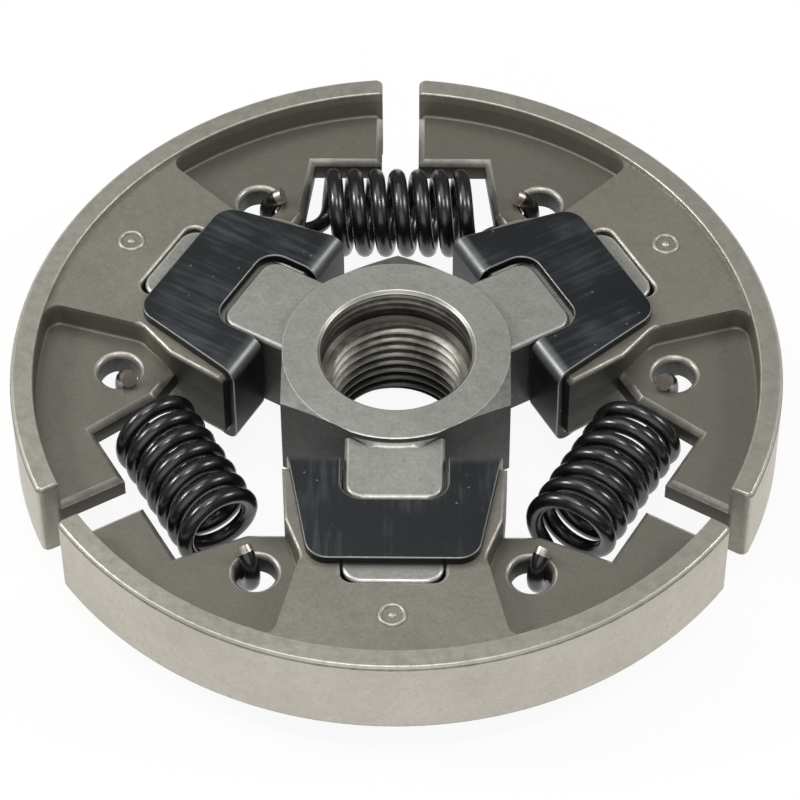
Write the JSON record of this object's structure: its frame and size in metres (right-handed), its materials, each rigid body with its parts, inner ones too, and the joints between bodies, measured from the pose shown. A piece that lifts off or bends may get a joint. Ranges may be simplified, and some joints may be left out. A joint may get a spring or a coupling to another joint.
{
  "type": "chainsaw centrifugal clutch",
  "caption": "Round centrifugal clutch for a chainsaw: a hexagonal threaded hub with arms, sliding friction shoes held by sheet retainers, and tension springs that draw the shoes in.",
  "frame": {"origin": "on the bore's axis, at the foot of the hub", "axes": "+Z along the crankshaft's axis from the hub's foot to its hexagon, +X and +Y in the plane of the shoes, with one arm along -Y"},
  "size_m": [0.0642, 0.0644, 0.012],
  "materials": {
    "carrier_iron": "sintered, matte",
    "shoe_iron": "sintered, satin",
    "retainer_sheet": "black oxide on spring steel",
    "spring_wire": "gloss black spring wire"
  },
  "bodies": {
    "carrier": {"carrier": "carrier_iron", "spring_back": "spring_wire", "spring_left": "spring_wire", "spring_right": "spring_wire"},
    "shoe_front": {"shoe_front": "shoe_iron", "retainer_front": "retainer_sheet"},
    "shoe_right": {"shoe_right": "shoe_iron", "retainer_right": "retainer_sheet"},
    "shoe_left": {"shoe_left": "shoe_iron", "retainer_left": "retainer_sheet"}
  },
  "joints": [
    {"name": "slide_front", "type": "slide", "parent": "carrier", "child": "shoe_front", "axis": [0, -1, 0], "range_m": [0, 0.001], "stiffness_N_per_m": 32000, "springref_m": -0.0028, "deforming": ["spring_left", "spring_right"]},
    {"name": "slide_right", "type": "slide", "parent": "carrier", "child": "shoe_right", "axis": [0.866, 0.5, 0], "range_m": [0, 0.001], "stiffness_N_per_m": 32000, "springref_m": -0.0028, "deforming": ["spring_back", "spring_right"]},
    {"name": "slide_left", "type": "slide", "parent": "carrier", "child": "shoe_left", "axis": [-0.866, 0.5, 0], "range_m": [0, 0.001], "stiffness_N_per_m": 32000, "springref_m": -0.0028, "deforming": ["spring_back", "spring_left"]}
  ]
}
